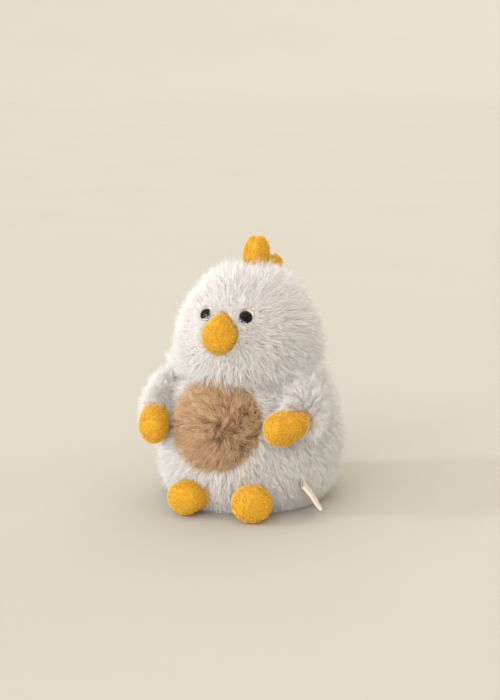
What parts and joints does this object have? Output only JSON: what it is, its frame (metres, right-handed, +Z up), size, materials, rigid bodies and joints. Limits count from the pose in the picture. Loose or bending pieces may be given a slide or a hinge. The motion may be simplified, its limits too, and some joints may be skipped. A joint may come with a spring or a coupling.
{
  "type": "plush keychain",
  "caption": "Seated stuffed chick with long pale fur, mustard comb, beak, hands and feet, a round brown belly patch and a ribbon with a swivel clasp behind its head.",
  "frame": {"origin": "middle of the flat underside, on the surface that the chick sits on", "axes": "+Z up, the chick faces -Y, its left side is +X"},
  "size_m": [0.0833, 0.102, 0.12],
  "materials": {
    "white_pile": "long soft pile",
    "brown_pile": "long soft pile",
    "mustard_velboa": "short velvety pile",
    "base_cloth": "short pile",
    "filling": "loose polyester fibre",
    "eye_plastic": "polished",
    "washer_plastic": "moulded",
    "label_tape": "satin tape",
    "ribbon": "woven ribbon",
    "clasp_metal": "bright nickel plate"
  },
  "bodies": {
    "body": {"torso_cover": "white_pile", "torso_stuffing": "filling", "base_panel": "base_cloth", "belly_patch": "brown_pile", "head_cover": "white_pile", "head_stuffing": "filling", "left_eye": "eye_plastic", "left_eye_washer": "washer_plastic", "right_eye": "eye_plastic", "right_eye_washer": "washer_plastic", "beak_cover": "mustard_velboa", "beak_stuffing": "filling", "comb_front_lobe_cover": "mustard_velboa", "comb_front_lobe_stuffing": "filling", "comb_rear_lobe_cover": "mustard_velboa", "comb_rear_lobe_stuffing": "filling"},
    "left_wing": {"left_wing_cover": "white_pile", "left_wing_stuffing": "filling", "left_hand_cover": "mustard_velboa", "left_hand_stuffing": "filling"},
    "right_wing": {"right_wing_cover": "white_pile", "right_wing_stuffing": "filling", "right_hand_cover": "mustard_velboa", "right_hand_stuffing": "filling"},
    "left_foot": {"left_foot_cover": "mustard_velboa", "left_foot_stuffing": "filling"},
    "right_foot": {"right_foot_cover": "mustard_velboa", "right_foot_stuffing": "filling"},
    "label": {"side_label": "label_tape"},
    "loop": {"hanging_loop": "ribbon"},
    "bail": {"clasp_bail": "clasp_metal"},
    "hook": {"clasp_hook": "clasp_metal", "clasp_gate_pin": "clasp_metal", "clasp_spring": "clasp_metal"},
    "gate": {"clasp_gate": "clasp_metal"}
  },
  "joints": [
    {"name": "left_wing_flap", "type": "hinge", "parent": "body", "child": "left_wing", "pos_m": [0.03225, -0.01098, 0.05488], "axis": [-0.4168, -0.4594, 0.7844], "range_deg": [0, 60]},
    {"name": "right_wing_flap", "type": "hinge", "parent": "body", "child": "right_wing", "pos_m": [-0.0329, -0.01113, 0.05388], "axis": [-0.3946, 0.5807, -0.7121], "range_deg": [0, 60]},
    {"name": "left_foot_lift", "type": "hinge", "parent": "body", "child": "left_foot", "pos_m": [0.01466, -0.0386, 0.015], "axis": [-0.9272, -0.3746, 0], "range_deg": [0, 35]},
    {"name": "right_foot_lift", "type": "hinge", "parent": "body", "child": "right_foot", "pos_m": [-0.01239, -0.03956, 0.01474], "axis": [-0.9397, 0.342, 0], "range_deg": [0, 35]},
    {"name": "label_bend", "type": "hinge", "parent": "body", "child": "label", "pos_m": [0.0358, -0.02, 0.0108], "axis": [-0.3792, -0.4022, 0.8334], "range_deg": [-8, 30], "stiffness_Nm_per_rad": 0.0001},
    {"name": "loop_swing", "type": "hinge", "parent": "body", "child": "loop", "pos_m": [0, 0.0318, 0.086], "axis": [1, 0, 0], "range_deg": [0, 90]},
    {"name": "bail_swing", "type": "hinge", "parent": "loop", "child": "bail", "pos_m": [0, 0.03693, 0.07297], "axis": [1, 0, 0], "range_deg": [0, 60]},
    {"name": "clasp_swivel", "type": "hinge", "parent": "bail", "child": "hook", "pos_m": [0, 0.04005, 0.06507], "axis": [0, 0.3665, -0.9304], "continuous": true},
    {"name": "gate_open", "type": "hinge", "parent": "hook", "child": "gate", "pos_m": [0.0049, 0.04324, 0.05697], "axis": [0, 0.9304, 0.3665], "range_deg": [0, 30], "stiffness_Nm_per_rad": 0.004, "springref_deg": -17.19}
  ]
}
